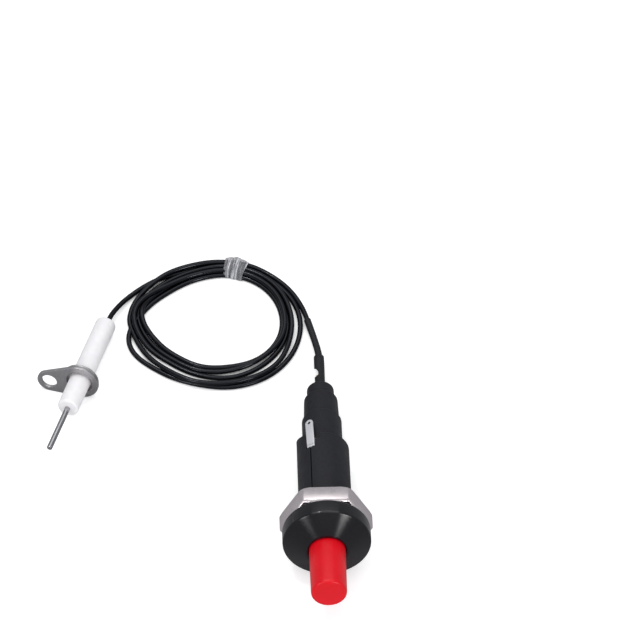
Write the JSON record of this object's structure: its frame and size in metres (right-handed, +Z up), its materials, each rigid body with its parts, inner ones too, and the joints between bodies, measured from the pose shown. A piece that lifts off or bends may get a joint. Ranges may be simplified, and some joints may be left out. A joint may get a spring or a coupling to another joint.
{
  "type": "push-button piezo igniter",
  "caption": "Push-button piezo igniter for a panel hole, with a coiled high-voltage lead to a ceramic spark electrode with bracket.",
  "frame": {"origin": "on the table, under the middle of the igniter and the electrode, the lead left out", "axes": "+X towards the button end, +Y from the electrode to the igniter, +Z up from the table"},
  "size_m": [0.1578, 0.1128, 0.0295],
  "materials": {
    "black_moulding": "satin black moulded plastic",
    "red_moulding": "glossy red moulded plastic",
    "nickel_plate": "nickel-plated steel, brushed",
    "sheet_steel": "tinned strip and turned steel",
    "bracket_steel": "dull stainless sheet",
    "hardened_steel": "ground steel",
    "spring_steel": "oiled spring wire",
    "crystal": "sintered lead zirconate titanate, tan",
    "contact_brass": "plain brass",
    "guide_plastic": "natural acetal",
    "boot_rubber": "matt black rubber",
    "lead_jacket": "glossy black lead insulation",
    "tie_film": "clear wrapping film",
    "white_ceramic": "satin white steatite",
    "rod_steel": "bright heat-resistant steel"
  },
  "bodies": {
    "igniter": {"housing": "black_moulding", "return_spring": "spring_steel", "hammer_spring": "spring_steel", "guide_tube": "guide_plastic", "rear_cap": "black_moulding", "anvil": "hardened_steel", "piezo_crystal_front": "crystal", "contact_disc": "contact_brass", "piezo_crystal_rear": "crystal", "output_terminal": "contact_brass", "ground_terminal": "sheet_steel", "lead_socket": "contact_brass", "terminal_boot": "boot_rubber", "shrink_sleeve": "boot_rubber", "lead_igniter_end": "lead_jacket", "lead_coil": "lead_jacket", "coil_tie": "tie_film", "lead_electrode_end": "lead_jacket", "ceramic_insulator": "white_ceramic", "crimp_ferrule": "contact_brass", "electrode_rod": "rod_steel", "bracket_plate": "bracket_steel", "grip_ring": "bracket_steel"},
    "button": {"push_button": "red_moulding", "plunger": "guide_plastic"},
    "hammer": {"hammer": "hardened_steel", "hammer_pin": "hardened_steel"},
    "nut": {"panel_nut": "nickel_plate"}
  },
  "joints": [
    {"name": "button_press", "type": "slide", "parent": "igniter", "child": "button", "axis": [-0.9898, 0, -0.1427], "range_m": [0, 0.007], "stiffness_N_per_m": 1500, "springref_m": -0.002, "deforming": ["return_spring", "hammer_spring"]},
    {"name": "hammer_strike", "type": "slide", "parent": "igniter", "child": "hammer", "axis": [-0.9898, 0, -0.1427], "range_m": [0, 0.0035]},
    {"name": "nut_travel", "type": "slide", "parent": "igniter", "child": "nut", "axis": [-0.9898, 0, -0.1427], "range_m": [0, 0.022]}
  ],
  "couplings": [
    {"joint": "hammer_strike", "follows": "button_press", "ratio": 0.5}
  ]
}
